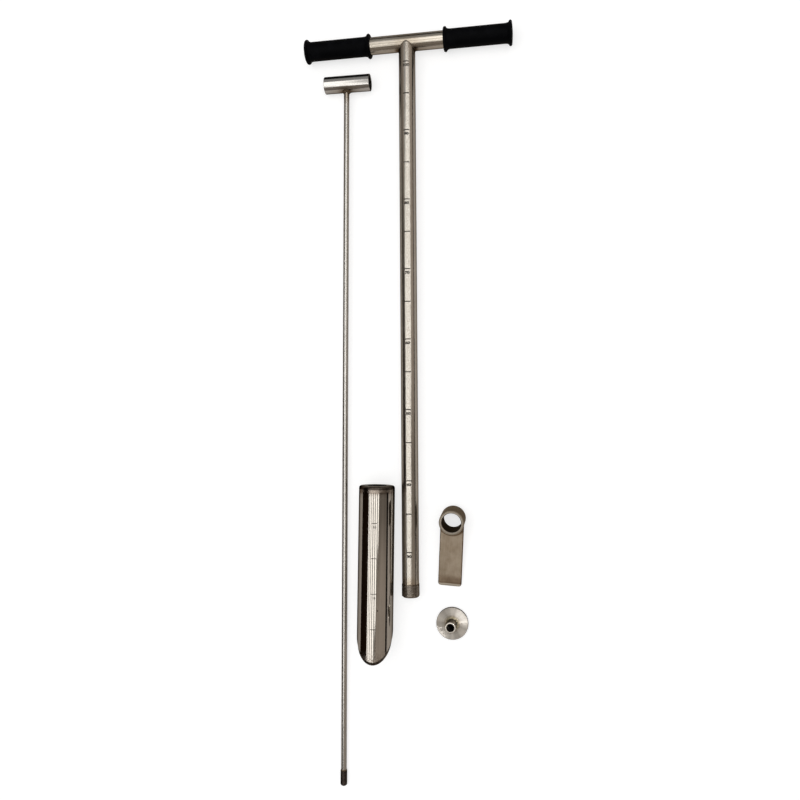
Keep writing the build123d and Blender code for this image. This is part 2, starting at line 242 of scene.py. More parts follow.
def steelMaterial(name, place, look):
    mat, tree = newMaterial(name)
    coords = localCoords(tree, place)
    if look["along"] == "round":
        radius = vectorNode(tree, "LENGTH", vectorNode(tree, "MULTIPLY", coords, (1, 1, 0)), output="Value")
        level = addNode(tree, "ShaderNodeSeparateXYZ", {"Vector": coords}).outputs["Z"]
        grainCoords = addNode(tree, "ShaderNodeCombineXYZ", {"X": radius, "Y": level}).outputs["Vector"]
    else:
        stretch = [1.0, 1.0, 1.0]
        stretch["xyz".index(look["along"])] = look.get("stretch", 0.012)
        grainCoords = vectorNode(tree, "MULTIPLY", coords, stretch)
    streak = noiseNode(tree, grainCoords, look["streakScale"], 5.0, 0.6)
    fine = noiseNode(tree, grainCoords, look["streakScale"] * steelGrain["fine"], 3.0, 0.6)
    patch = noiseNode(tree, coords, look["patchScale"], 5.0, 0.62)
    speck = noiseNode(tree, coords, steelGrain["pitScale"], 2.0, 0.5)

    tone = blended(tree, streak, look.get("streaky", 0.55), patch)
    color = mixColor(tree, ranged(tree, tone, 0.36, 0.64, 0.0, 1.0), look["dark"], look["light"])
    pits = ranged(tree, speck, 0.70, 0.78, 0.0, look["pits"], True)
    color = mixColor(tree, pits, color, look["pitColor"])
    rough = ranged(tree, blended(tree, patch, 0.7, fine), 0.35, 0.65, *look["rough"])
    # Painted sheen: the colour rises and falls in sectors by bearing round the axis, standing in for the sheen of a
    # turned face
    if "sheenSpokes" in look:
        bearing = vectorNode(tree, "NORMALIZE", vectorNode(tree, "MULTIPLY", coords, (1, 1, 0)))
        uneven = noiseNode(tree, bearing, steelGrain["sheenSpokeScale"], 3.0)
        spoke = ranged(tree, uneven, 0.36, 0.62, 1.0 - look["sheenSpokes"], 1.0 + look["sheenSpokes"])
        color = vectorNode(tree, "SCALE", color)
        tree.links.new(spoke, color.node.inputs["Scale"])
    for zone in look.get("zones", ()):
        mask = zoneMask(tree, coords, patch, zone)
        color = mixColor(tree, mask, color, zone["color"], zone.get("blend", "MULTIPLY"))
        if "rough" in zone:
            rough = mixFloat(tree, mask, rough, zone["rough"])

    bump = addNode(tree, "ShaderNodeBump", {
        "Strength": look["bump"], "Distance": steelGrain["relief"],
        "Height": blended(tree, streak, 0.7, fine)}).outputs["Normal"]
    if "knurl" in look:
        bump = knurlBump(tree, coords, look["knurl"], bump)
    bsdf = addNode(tree, "ShaderNodeBsdfPrincipled", {
        "Base Color": color, "Metallic": 1.0, "Roughness": rough, "Specular Tint": look["edge"], "Normal": bump})
    if "lathe" in look:
        bsdf.inputs["Anisotropic"].default_value = look["lathe"]
        tangent = addNode(tree, "ShaderNodeTangent", direction_type="RADIAL", axis="Z").outputs["Tangent"]
        tree.links.new(tangent, bsdf.inputs["Tangent"])
        bsdf.inputs["Anisotropic Rotation"].default_value = steelGrain["latheTurn"]
    addNode(tree, "ShaderNodeOutputMaterial", {"Surface": bsdf.outputs["BSDF"]})
    return mat


# Two crossed sets of shallow rolled lines in a band round the axis

def knurlBump(tree, coords, knurl, under):
    axes = addNode(tree, "ShaderNodeSeparateXYZ", {"Vector": coords}).outputs
    turn = mathNode(tree, "ARCTAN2", axes["Y"], axes["X"])
    around = mathNode(tree, "MULTIPLY", turn, floor(2 * pi * knurl["radius"] / knurl["pitch"]))
    along = mathNode(tree, "MULTIPLY", axes["Z"], 2 * pi / knurl["pitch"])
    waves = [mathNode(tree, "SINE", mathNode(tree, sign, around, along)) for sign in ("ADD", "SUBTRACT")]
    away = mathNode(tree, "ABSOLUTE", mathNode(tree, "SUBTRACT", axes["Z"], knurl["at"]))
    band = ranged(tree, away, knurl["half"], knurl["half"] * 0.6, 0.0, 1.0, True)
    relief = mathNode(tree, "MULTIPLY", mathNode(tree, "MAXIMUM", waves[0], waves[1]), band)
    return addNode(tree, "ShaderNodeBump", {
        "Strength": 1.0, "Distance": knurl["depth"], "Height": relief, "Normal": under}).outputs["Normal"]


def dress(node, mat):
    data = nodes[node].data
    data.materials.clear()
    data.materials.append(mat)


# Helpers for meshes

def addMesh(name, points, faces, place=None, sharp=35.0):
    mesh = bpy.data.meshes.new(name)
    mesh.from_pydata([place @ Vector(p) for p in points] if place else points, [], faces)
    built = bmesh.new()
    built.from_mesh(mesh)
    bmesh.ops.recalc_face_normals(built, faces=built.faces)
    built.to_mesh(mesh)
    built.free()
    mesh.shade_smooth()
    mesh.set_sharp_from_angle(angle=radians(sharp))
    obj = bpy.data.objects.new(name, mesh)
    scene.collection.objects.link(obj)
    return obj


def gridFaces(rows, closedRows, caps=False, base=0):
    wide = len(rows[0])
    faces = []
    for i in range(len(rows) if closedRows else len(rows) - 1):
        a, b = base + i * wide, base + (i + 1) % len(rows) * wide
        for j in range(wide):
            k = (j + 1) % wide
            faces.append((a + j, a + k, b + k, b + j))
    if caps:
        faces.append(tuple(range(base, base + wide)))
        faces.append(tuple(range(base + (len(rows) - 1) * wide, base + len(rows) * wide)))
    return faces


def gridMesh(name, rows, place, closedRows=False, caps=False, sharp=35.0):
    return addMesh(name, [p for row in rows for p in row], gridFaces(rows, closedRows, caps), place, sharp)


def finishPiece(obj, mat, body, slot, *replaced):
    obj.data.materials.append(mat)
    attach(obj, body)
    if replaced:
        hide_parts(*replaced)


def circleRow(radius, level, count):
    return [(radius * cos(2 * pi * j / count), radius * sin(2 * pi * j / count), level) for j in range(count)]


def arcRows(radius, level, size, start, stop, count, steps=6):
    turns = [radians(start + (stop - start) * i / steps) for i in range(steps + 1)]
    return [circleRow(radius + size * cos(t), level + size * sin(t), count) for t in turns]


def smoothStep(low, high, value):
    t = min(1.0, max(0.0, (value - low) / (high - low)))
    return t * t * (3 - 2 * t)


# Rows of a cut thread between two levels; depth is negative for a thread inside a hole

def threadRows(thread, start, end, limit=None):
    rows = []
    pitch, count = thread["pitch"], thread["count"]
    steps = ceil((end - start) / pitch * 16)  # sixteen rows to a turn
    for i in range(steps + 1):
        level = start + (end - start) * i / steps
        fade = smoothStep(0, pitch, level - start) * smoothStep(0, 0.3 * pitch, end - level)
        row = []
        for j in range(count):
            turn = 2 * pi * j / count
            phase = level / pitch - j / count
            wave = smoothStep(0.35, 1.0, abs(2 * (phase - floor(phase)) - 1))
            radius = thread["crest"] - thread["depth"] * wave * fade
            if limit:
                radius = min(radius, limit(level))
            row.append((radius * cos(turn), radius * sin(turn), level))
        rows.append(row)
    return rows


# A weld bead: one section per step of a path, each with its own two directions

unevenScale = 600.0


def beadRows(sections, profile, ripple):
    rows = []
    travel = 0.0
    for i, (point, across, up) in enumerate(sections):
        if i:
            travel += (point - sections[i - 1][0]).length
        row = []
        for u, v in profile:
            phase = travel / ripple["step"] + ripple["bow"] * (1 - u * u)
            scale = 1 - ripple["depth"] * abs(2 * (phase - floor(phase)) - 1) ** 1.5
            uneven = noise.noise(point * unevenScale + Vector((u, v, 0))) * ripple["uneven"]
            lift = v * (scale + uneven) if v > 0 else v
            row.append(point + across * u + up * lift)
        rows.append(row)
    return rows


def beadMesh(name, sections, profile, ripple, place):
    return gridMesh(name, beadRows(sections, profile, ripple), place, closedRows=True, sharp=60.0)


def ringSections(bead, radius, level, across, up):
    found = []
    for i in range(bead["steps"]):
        t = bead.get("from", 0.0) + bead.get("sweep", 2 * pi) * i / bead["steps"]
        out = Vector((cos(t), sin(t), 0))
        axes = {"out": out, "down": Vector((0, 0, 1)), "up": Vector((0, 0, -1))}
        sway = bead.get("sway", 0.0) * sin(t * 11 + sin(t * 5))
        size = 1.0
        if "taper" in bead:
            along = i / (bead["steps"] - 1)
            size = bead["tail"] + (1 - bead["tail"]) * smoothStep(0.0, bead["taper"], min(along, 1 - along))
        found.append((out * radius + Vector((0, 0, level + sway)), axes[across] * bead["half"] * size,
                      axes[up] * bead["height"] * size))
    return found


# Cross sections of a bead that lies over a seam and of one that fills a corner
overBead = [(-1, -0.5), (-1, 0), (-0.85, 0.42), (-0.6, 0.74), (-0.3, 0.94), (0, 1),
            (0.3, 0.94), (0.6, 0.74), (0.85, 0.42), (1, 0), (1, -0.5)]
cornerBead = [(-0.2, -0.2), (-0.1, 1.0), (0.03, 0.96), (0.16, 0.80), (0.33, 0.60), (0.48, 0.46),
              (0.66, 0.30), (0.82, 0.15), (0.98, 0.03), (1.0, -0.2)]


# Camera, at the photograph's viewing angle

photoView = {"lens": 34.03, "sensor": 36.0, "place": (0.1744, -0.0398, 1.0763), "turn": (0.0422, 0.1754, -0.0055)}
camData = bpy.data.cameras.new("photoCamera")
camData.lens = photoView["lens"]
camData.sensor_width = photoView["sensor"]
camera = bpy.data.objects.new("photoCamera", camData)
camera.location = photoView["place"]
camera.rotation_euler = photoView["turn"]
scene.collection.objects.link(camera)
scene.camera = camera
scene.view_settings.view_transform = "Standard"


# Pale floor, white surroundings and one large soft lamp

floorLook = {"half": 14.0, "drop": 0.3 * mm, "paint": rgb(0.43, 0.43, 0.43), "warm": rgb(1, 0.91, 0.82),
             "mirrored": 0.3, "fill": 0.655, "farFill": 0.85, "fadeFrom": 1.4, "fadeTo": 4.0}
skyLook = {"light": 0.55, "seen": 1.0}
softBox = {"wide": 3.0, "deep": 2.6, "energy": 34.0, "color": (1.0, 0.985, 0.96), "place": (-0.3, 0.0, 2.35)}


def lookingRays(tree, mirrored):
    path = addNode(tree, "ShaderNodeLightPath").outputs
    inMetal = mathNode(tree, "MULTIPLY", path["Is Glossy Ray"], mirrored)
    seen = mathNode(tree, "MAXIMUM", path["Is Camera Ray"], inMetal)
    return mathNode(tree, "MAXIMUM", seen, path["Is Transmission Ray"])


floorMat, tree = newMaterial("paleFloor")
inMetal = addNode(tree, "ShaderNodeLightPath").outputs["Is Glossy Ray"]
tint = mixColor(tree, inMetal, rgb(1, 1, 1), floorLook["warm"])
paintColor = mixColor(tree, 1.0, floorLook["paint"], tint, "MULTIPLY")
paint = addNode(tree, "ShaderNodeBsdfDiffuse", {"Color": paintColor})
fromMiddle = vectorNode(tree, "LENGTH", addNode(tree, "ShaderNodeTexCoord").outputs["Object"], output="Value")
fill = ranged(tree, fromMiddle, floorLook["fadeFrom"], floorLook["fadeTo"],
              floorLook["fill"], floorLook["farFill"], True)
lift = addNode(tree, "ShaderNodeEmission", {
    "Color": tint, "Strength": mathNode(tree, "MULTIPLY", lookingRays(tree, floorLook["mirrored"]), fill)})
both = addNode(tree, "ShaderNodeAddShader", {0: paint.outputs[0], 1: lift.outputs[0]})
addNode(tree, "ShaderNodeOutputMaterial", {"Surface": both.outputs[0]})
half = floorLook["half"]
floorCorners = [(x, y, -floorLook["drop"]) for x, y in ((-half, -half), (half, -half), (half, half), (-half, half))]
stageFloor = addMesh("stageFloor", floorCorners, [(0, 1, 2, 3)])
stageFloor.data.materials.append(floorMat)

world = bpy.data.worlds.new("studio")
scene.world = world
world.use_nodes = True
tree = world.node_tree
tree.nodes.clear()
sky = addNode(tree, "ShaderNodeBackground", {
    "Color": rgb(1, 1, 1),
    "Strength": ranged(tree, lookingRays(tree, 1.0), 0.0, 1.0, skyLook["light"], skyLook["seen"])})
addNode(tree, "ShaderNodeOutputWorld", {"Surface": sky.outputs[0]})

lampData = bpy.data.lights.new("softBox", "AREA")
lampData.shape = "RECTANGLE"
lampData.size, lampData.size_y = softBox["wide"], softBox["deep"]
lampData.energy = softBox["energy"]
lampData.color = softBox["color"]
lamp = bpy.data.objects.new("softBox", lampData)
lamp.location = softBox["place"]
lamp.visible_glossy = False
scene.collection.objects.link(lamp)


# Cards that only the steel reflects: a bank of soft strips overhead and dim walls round it

def addCard(name, teeCornerTintAndShade, color, strength, dip=None):
    mat, tree = newMaterial(name)
    if dip:
        coords = addNode(tree, "ShaderNodeTexCoord").outputs["Object"]
        along = addNode(tree, "ShaderNodeSeparateXYZ", {"Vector": coords}).outputs["Y"]
        away = mathNode(tree, "ABSOLUTE", mathNode(tree, "SUBTRACT", along, dip["at"]))
        strength = ranged(tree, away, dip["core"], dip["reach"], dip["glow"], strength, True)
    glow = addNode(tree, "ShaderNodeEmission", {"Color": rgb(*color), "Strength": strength})
    addNode(tree, "ShaderNodeOutputMaterial", {"Surface": glow.outputs[0]})
    card = addMesh(name, teeCornerTintAndShade, [(0, 1, 2, 3)])
    card.data.materials.append(mat)
    card.visible_camera = False
    card.visible_diffuse = False
    card.visible_shadow = False
    card.visible_transmission = False


def flatCard(name, x0, x1, y0, y1, level, color, strength, dip=None):
    addCard(name, [(x0, y0, level), (x1, y0, level), (x1, y1, level), (x0, y1, level)], color, strength, dip)


def wallCard(name, a, b, low, high, color, strength, dip=None):
    addCard(name, [(*a, low), (*b, low), (*b, high), (*a, high)], color, strength, dip)


room = {"left": -2.6, "right": 2.6, "near": -2.6, "far": 2.6, "roof": 2.3, "bankLeft": -1.75, "bankRight": 0.62,
        "roofSplit": 0.05, "leftSplit": 0.15, "skirtRight": 0.62, "skirtFar": 0.9}
bank = {"level": 2.1, "width": 0.24, "glow": 2.6, "back": 0.6, "gap": 0.01}
# Each strip by its middle and two ends, each back by its two sides and two ends
strips = [(-1.62, -1.50, 0.85), (-1.14, -1.50, 1.10), (-0.66, -1.50, 1.25), (-0.18, -1.15, 1.60),
          (0.30, -0.85, 1.60), (0.78, -0.55, 1.60), (1.26, 0.15, 1.50)]
backs = [(-1.75, -1.38, -1.50, 0.85), (-1.38, -0.42, -1.50, 1.25), (-0.42, 0.10, -1.15, 1.25),
         (-0.50, 0.10, 1.25, 1.60), (0.10, 0.45, -0.85, 1.60), (0.45, 0.92, -0.55, 1.60), (0.92, 1.42, 0.15, 1.50)]
rightDip = {"at": -0.36, "core": 0.05, "reach": 0.62, "glow": 0.19}
leftDip = {"at": 0.15, "core": 0.55, "reach": 1.6, "glow": 0.13}
cream = (1.0, 0.97, 0.92)
brown = (1.0, 0.855, 0.72)
umber = (1.0, 0.5, 0.22)
for i, (x, near, far) in enumerate(strips):
    flatCard(f"strip{i}", x - bank["width"] / 2, x + bank["width"] / 2, near, far, bank["level"] - bank["gap"],
             cream, bank["glow"])
for i, (x0, x1, near, far) in enumerate(backs):
    flatCard(f"bankBack{i}", x0, x1, near, far, bank["level"], cream, bank["back"])
roof, bankLeft, bankRight = room["roof"], room["bankLeft"], room["bankRight"]
flatCard("roofFar", bankLeft, bankRight, room["roofSplit"], room["far"], roof, cream, 0.45)
flatCard("roofNear", bankLeft, bankRight, room["near"], room["roofSplit"], roof, brown, 0.26)
flatCard("roofLeftFar", room["left"], bankLeft, room["leftSplit"], room["far"], roof, brown, 0.45, leftDip)
flatCard("roofLeftNear", room["left"], bankLeft, room["near"], room["leftSplit"], roof, umber, 0.02)
flatCard("roofRight", bankRight, room["right"], room["near"], room["far"], roof, brown, 0.46, rightDip)

nearLeft, nearRight = (room["left"], room["near"]), (room["right"], room["near"])
farLeft, farRight = (room["left"], room["far"]), (room["right"], room["far"])
middleLeft = (room["left"], room["leftSplit"])
wallCard("wallLeftNear", nearLeft, middleLeft, 0.0, roof, umber, 0.012)
wallCard("wallLeftFar", middleLeft, farLeft, 0.0, roof, brown, 0.25, dict(leftDip, glow=0.05))
wallCard("wallRight", nearRight, farRight, room["skirtRight"], roof, brown, 0.46, rightDip)
wallCard("skirtRight", nearRight, farRight, 0.0, room["skirtRight"], brown, 0.01)
wallCard("wallFar", farLeft, farRight, room["skirtFar"], roof, cream, 0.34)
wallCard("skirtFar", farLeft, farRight, 0.0, room["skirtFar"], cream, 0.02)
wallCard("wallNear", nearLeft, nearRight, 0.0, roof, brown, 0.22)

# Small lamps that only the turned disc picks up
discSpots = {"places": [(0.74, -0.41, 0.97), (0.62, -0.15, 1.03), (0.42, 0.06, 1.07)], "cone": radians(3.2),
             "blend": 0.4, "soft": 0.015, "energy": 22.0}
for i, spot in enumerate(discSpots["places"]):
    sparkData = bpy.data.lights.new(f"discSpot{i}", "SPOT")
    sparkData.spot_size = discSpots["cone"]
    sparkData.spot_blend = discSpots["blend"]
    sparkData.shadow_soft_size = discSpots["soft"]
    sparkData.energy = discSpots["energy"]
    spark = bpy.data.objects.new(f"discSpot{i}", sparkData)
    spark.location = spot
    spark.rotation_euler = (spark.location - middleOf("piston_disc")).to_track_quat("Z", "Y").to_euler()
    spark.visible_diffuse = False
    scene.collection.objects.link(spark)
print("stage done")


# T-handle

tube = spanOf("main_tube", handlePlace)
tubeRadius, tubeReach = tube["outer"], tube["end"]
edgeTone = rgb(0.06, 0.055, 0.048)
heatTintAndShade = rgb(0.20, 0.135, 0.08)
straw = rgb(0.72, 0.60, 0.46)
# Dark brown spots where the crossbar meets the tube: partly heat tint from the weld, partly painted shade in the
# corners
teeCornerTintAndShade = [nearSpot((side * tubeRadius, 0.25 * tubeRadius, tubeRadius), 7 * mm, 0.9, heatTintAndShade) for side in (-1, 1)]
tubeLook = {"along": "z", "streakScale": 420.0, "patchScale": 26.0, "rough": (0.19, 0.23), "bump": 0.06,
            "dark": rgb(0.445, 0.42, 0.385), "light": rgb(0.52, 0.495, 0.46), "pitColor": rgb(0.14, 0.12, 0.095),
            "pits": 0.12, "edge": edgeTone,
            "zones": teeCornerTintAndShade + [nearLevel(0.0, 30 * mm, 0.2, straw), nearLevel(tubeReach, 14 * mm, 0.55, straw)]}
dress("main_tube", steelMaterial("tubeSteel", handlePlace, tubeLook))
crossLook = dict(tubeLook, along="x", stretch=0.005, streakScale=560.0, streaky=0.8, rough=(0.17, 0.25),
                 bump=0.35, dark=rgb(0.33, 0.30, 0.255), light=rgb(0.60, 0.56, 0.505),
                 zones=teeCornerTintAndShade + [dict(nearLevel(0.0, 30 * mm, 0.3, straw), weight=(1, 0, 0))])
dress("crossbar", steelMaterial("crossSteel", handlePlace, crossLook))
threadLook = {"along": "z", "stretch": 1.0, "streakScale": 900.0, "patchScale": 90.0, "rough": (0.2, 0.3),
              "bump": 0.25, "dark": rgb(0.14, 0.122, 0.106), "light": rgb(0.28, 0.252, 0.224),
              "pitColor": rgb(0.04, 0.034, 0.028), "pits": 0.5, "edge": edgeTone}
weldLook = {"along": "z", "stretch": 1.0, "streakScale": 1200.0, "patchScale": 160.0, "rough": (0.3, 0.48),
            "bump": 0.35, "dark": rgb(0.075, 0.055, 0.038), "light": rgb(0.20, 0.155, 0.11),
            "pitColor": rgb(0.03, 0.024, 0.018), "pits": 0.5, "edge": edgeTone}
weldSteel = steelMaterial("weldSteel", handlePlace, weldLook)

# Moulded rubber, with a fine grain and a little dust
gripLook = {"grainScale": 2600.0, "dustScale": 55.0, "clean": rgb(0.0010, 0.0011, 0.0017),
            "dusty": rgb(0.0028, 0.0030, 0.0042), "bump": 0.25, "relief": 0.04 * mm, "rough": (0.5, 0.68),
            "shine": 0.03}
rubber, tree = newMaterial("gripRubber")
coords = localCoords(tree, handlePlace)
grain = noiseNode(tree, coords, gripLook["grainScale"], 2.0)
dust = noiseNode(tree, coords, gripLook["dustScale"], 6.0, 0.65)
dustMask = ranged(tree, dust, 0.45, 0.72, 0.0, 1.0, True)
color = mixColor(tree, dustMask, gripLook["clean"], gripLook["dusty"])
bump = addNode(tree, "ShaderNodeBump", {
    "Strength": gripLook["bump"], "Distance": gripLook["relief"], "Height": grain}).outputs["Normal"]
bsdf = addNode(tree, "ShaderNodeBsdfPrincipled", {
    "Base Color": color, "Roughness": ranged(tree, dust, 0.3, 0.7, *gripLook["rough"]),
    "Specular IOR Level": gripLook["shine"], "Normal": bump})
addNode(tree, "ShaderNodeOutputMaterial", {"Surface": bsdf.outputs["BSDF"]})
for name in ("left_grip", "right_grip"):
    dress(name, rubber)

# Tee weld: an arch along the cope, rounded where the two tubes are level with each other
tee = {"thin": 0.7 * mm, "thick": 1.0 * mm, "crown": 0.25, "steps": 220,
       "ripple": {"step": 1.3 * mm, "bow": 0.35, "depth": 0.28, "uneven": 0.12}}
seam = []
for i in range(tee["steps"]):
    t = 2 * pi * i / tee["steps"]
    level = (abs(cos(t)) ** 3 + tee["crown"] ** 3) ** (1 / 3)
    seam.append(Vector((cos(t), sin(t), level)) * tubeRadius)
sections = []
for i, point in enumerate(seam):
    ahead = (seam[(i + 1) % len(seam)] - seam[i - 1]).normalized()
    up = Vector((point.x, 2 * point.y, point.z)) / tubeRadius
    up = (up - ahead * ahead.dot(up)).normalized()
    size = tee["thin"] + (tee["thick"] - tee["thin"]) * abs(point.x) / tubeRadius
    sections.append((point, up.cross(ahead) * size, up * size))
teeSteel = steelMaterial("teeWeldSteel", handlePlace, dict(
    weldLook, dark=rgb(0.13, 0.105, 0.08), light=rgb(0.33, 0.285, 0.23), zones=teeCornerTintAndShade))
finishPiece(beadMesh("teeWeld", sections, overBead, tee["ripple"], handlePlace), teeSteel,
            "handle", "weld", "tee_weld")

# Threaded nipple with a cut thread, neck, lead chamfer and bored end
plug = spanOf("threaded_nipple", handlePlace)
nipple = {"crest": plug["outer"], "depth": 0.4 * mm, "pitch": 2.0 * mm, "count": 112, "neck": 1.0 * mm,
          "chamfer": 2.0 * mm, "deburr": 0.4 * mm, "spigot": tube["inner"] - 0.05 * mm,
          "shoulder": tubeRadius - 0.02 * mm}
rows = [circleRow(nipple["spigot"], plug["start"], nipple["count"]),
        circleRow(nipple["spigot"], tubeReach, nipple["count"]),
        circleRow(nipple["shoulder"], tubeReach, nipple["count"]),
        circleRow(nipple["shoulder"], tubeReach + nipple["neck"] * 0.9, nipple["count"])]
rows += threadRows(nipple, tubeReach + nipple["neck"], plug["end"],
                   lambda level: nipple["crest"] - max(0.0, level - (plug["end"] - nipple["chamfer"])))
rows += [circleRow(plug["inner"] + nipple["deburr"], plug["end"], nipple["count"]),
         circleRow(plug["inner"], plug["end"] - nipple["deburr"], nipple["count"]),
         circleRow(plug["inner"], plug["start"], nipple["count"])]
nippleSteel = steelMaterial("nippleSteel", handlePlace, dict(
    threadLook, dark=rgb(0.165, 0.144, 0.125), light=rgb(0.345, 0.31, 0.275), edge=rgb(0.02, 0.018, 0.016),
    # Painted shade inside the nipple's bore
    zones=[insideOf(plug["inner"], rgb(0.05, 0.044, 0.038))]))
finishPiece(gridMesh("threadedNipple", rows, handlePlace, closedRows=True, sharp=44.0), nippleSteel,
            "handle", "thread_steel", "threaded_nipple")

# Low uneven bead over the seam between tube and nipple
nippleBead = {"half": 0.75 * mm, "height": 0.42 * mm, "steps": 220, "sway": 0.45 * mm,
              "ripple": {"step": 2.4 * mm, "bow": 0.5, "depth": 0.4, "uneven": 0.2}}
sections = ringSections(nippleBead, tubeRadius, tubeReach, "down", "out")
finishPiece(beadMesh("nippleWeld", sections, overBead, nippleBead["ripple"], handlePlace), weldSteel,
            "handle", "weld", "nipple_weld")
print("handle done")


# Scale marks: thin strips and numbers laid on a tube

marking = {"sunk": 0.06 * mm, "proud": 0.03 * mm, "bends": 8, "slice": 0.7 * mm, "capShare": 0.72, "join": 1e-7,
           "wearScale": 900.0}


def wrapped(radius, across, level, lift, place):
    out = Vector((sin(across / radius), cos(across / radius), 0))
    point = place @ (out * (radius + lift) + Vector((0, 0, level)))
    point.z = min(point.z, cadBounds[1].z)  # no mark stands above the CAD
    return point


def tickPatch(points, faces, scale, radius, level, place):
    count = marking["bends"]
    base = len(points)
    for lift in (-marking["sunk"], marking["proud"]):
        for k in range(count + 1):
            across = scale["width"] * (k / count - 0.5)
            for side in (-0.5, 0.5):
                points.append(wrapped(radius, across, level + side * scale["line"], lift, place))
    ring = 2 * (count + 1)
    for k in range(count):
        a = base + 2 * k
        faces.append((a, a + 1, a + 3, a + 2))
        faces.append((a + ring, a + ring + 2, a + ring + 3, a + ring + 1))
        faces.append((a, a + 2, a + ring + 2, a + ring))
        faces.append((a + 1, a + ring + 1, a + ring + 3, a + 3))
    for a in (base, base + 2 * count):
        faces.append((a, a + 1, a + ring + 1, a + ring))


def numberPatch(points, faces, scale, text, radius, level, place):
    curve = bpy.data.curves.new("numberShape", "FONT")
    curve.body = text
    curve.align_x = "CENTER"
    curve.align_y = "TOP"
    curve.size = scale["digit"] / marking["capShare"]
    curve.offset = scale["bold"]
    curve.extrude = (marking["proud"] + marking["sunk"]) / 2
    curve.resolution_u = 4
    shape = bpy.data.objects.new("numberShape", curve)
    scene.collection.objects.link(shape)
    bpy.context.view_layer.update()
    mesh = bpy.data.meshes.new_from_object(shape.evaluated_get(bpy.context.evaluated_depsgraph_get()))
    built = bmesh.new()
    built.from_mesh(mesh)
    bmesh.ops.remove_doubles(built, verts=built.verts, dist=marking["join"])
    wide = max(abs(v.co.x) for v in built.verts)
    cut = -wide
    while cut < wide:
        bmesh.ops.bisect_plane(built, geom=built.verts[:] + built.edges[:] + built.faces[:],
                               plane_co=(cut, 0, 0), plane_no=(1, 0, 0), dist=marking["join"])
        cut += marking["slice"]
    built.verts.index_update()
    base = len(points)
    for v in built.verts:
        lift = v.co.z + (marking["proud"] - marking["sunk"]) / 2
        points.append(wrapped(radius, v.co.x * scale["stretch"], level - v.co.y, lift, place))
    for f in built.faces:
        faces.append(tuple(base + v.index for v in f.verts))
    built.free()
    bpy.data.meshes.remove(mesh)
    bpy.data.objects.remove(shape)
    bpy.data.curves.remove(curve)


def markMaterial(name, place, dark, light):
    mat, tree = newMaterial(name)
    worn = noiseNode(tree, localCoords(tree, place), marking["wearScale"], 4.0, 0.6)
    color = mixColor(tree, ranged(tree, worn, 0.4, 0.68, 0.0, 1.0), dark, light)
    bsdf = addNode(tree, "ShaderNodeBsdfPrincipled", {
        "Base Color": color, "Metallic": 0.5, "Roughness": ranged(tree, worn, 0.3, 0.7, 0.5, 0.65),
        "Specular IOR Level": 0.2})
    addNode(tree, "ShaderNodeOutputMaterial", {"Surface": bsdf.outputs["BSDF"]})
    return mat


tubeScale = {"first": 32.3 * mm, "pitch": 100.0 * mm, "half": 46.5 * mm, "numbers": range(100, 20, -10),
             "width": 8.6 * mm, "line": 1.45 * mm, "digit": 3.7 * mm, "gap": 3.1 * mm, "bold": 0.28 * mm,
             "stretch": 1.3, "clear": 50 * mm}
points, faces = [], []
for i, number in enumerate(tubeScale["numbers"]):
    level = tubeScale["first"] + i * tubeScale["pitch"]
    tickPatch(points, faces, tubeScale, tubeRadius, level, handlePlace)
    numberPatch(points, faces, tubeScale, str(number), tubeRadius, level + tubeScale["gap"], handlePlace)
    if level + tubeScale["half"] < tubeReach - tubeScale["clear"]:
        tickPatch(points, faces, tubeScale, tubeRadius, level + tubeScale["half"], handlePlace)
etched = markMaterial("tubeMarkEtch", handlePlace, rgb(0.014, 0.012, 0.010), rgb(0.05, 0.043, 0.036))
finishPiece(addMesh("tubeScaleMarks", points, faces), etched, "handle", "thread_steel")

barrel = spanOf("barrel", barrelPlace)
barrelRadius = barrel["outer"]
barrelScale = {"first": 50.7 * mm, "pitch": 48.3 * mm, "numbers": {0: "20", 2: "10"}, "count": 4,
               "width": 7.4 * mm, "line": 0.95 * mm, "digit": 3.3 * mm, "gap": 3.3 * mm, "bold": 0.05 * mm,
               "stretch": 1.2}
points, faces = [], []
for i in range(barrelScale["count"]):
    level = barrelScale["first"] + i * barrelScale["pitch"]
    tickPatch(points, faces, barrelScale, barrelRadius, level, barrelPlace)
    if i in barrelScale["numbers"]:
        numberPatch(points, faces, barrelScale, barrelScale["numbers"][i], barrelRadius,
                    level + barrelScale["gap"], barrelPlace)
etched = markMaterial("barrelMarkEtch", barrelPlace, rgb(0.03, 0.026, 0.022), rgb(0.10, 0.09, 0.075))
finishPiece(addMesh("barrelScaleMarks", points, faces), etched, "sampling_tube", "thread_steel")
print("marks done")


# Push rod

rodRadius = spanOf("push_rod", rodPlace)["outer"]
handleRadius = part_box("push_handle")[1].z / 2
tipSpan = spanOf("push_rod_tip", rodPlace)
tan = rgb(0.50, 0.38, 0.26)
rodLook = {"along": "z", "streakScale": 500.0, "patchScale": 20.0, "rough": (0.18, 0.22), "bump": 0.06,
           "dark": rgb(0.42, 0.411, 0.398), "light": rgb(0.54, 0.529, 0.514), "pitColor": rgb(0.13, 0.115, 0.095),
           "pits": 0.12, "edge": edgeTone,
           "zones": [nearLevel(handleRadius, 24 * mm, 0.6, tan), nearLevel(tipSpan["start"], 6 * mm, 0.3, tan)]}
dress("push_rod", steelMaterial("rodSteel", rodPlace, rodLook))
pushLook = dict(rodLook, along="x", rough=(0.11, 0.18), bump=0.45, streaky=0.7,
                dark=rgb(0.43, 0.425, 0.42), light=rgb(0.57, 0.565, 0.56),
                zones=[nearSpot((0, 0, handleRadius), 15 * mm, 0.9, rgb(0.30, 0.22, 0.14)),
                       dict(nearLevel(handleRadius, 6 * mm, 0.4, rgb(0.66, 0.56, 0.44)), weight=(0.2, 0, 1))])
dress("push_handle", steelMaterial("pushHandleSteel", rodPlace, pushLook))
rodWeldSteel = steelMaterial("rodWeldSteel", rodPlace, weldLook)

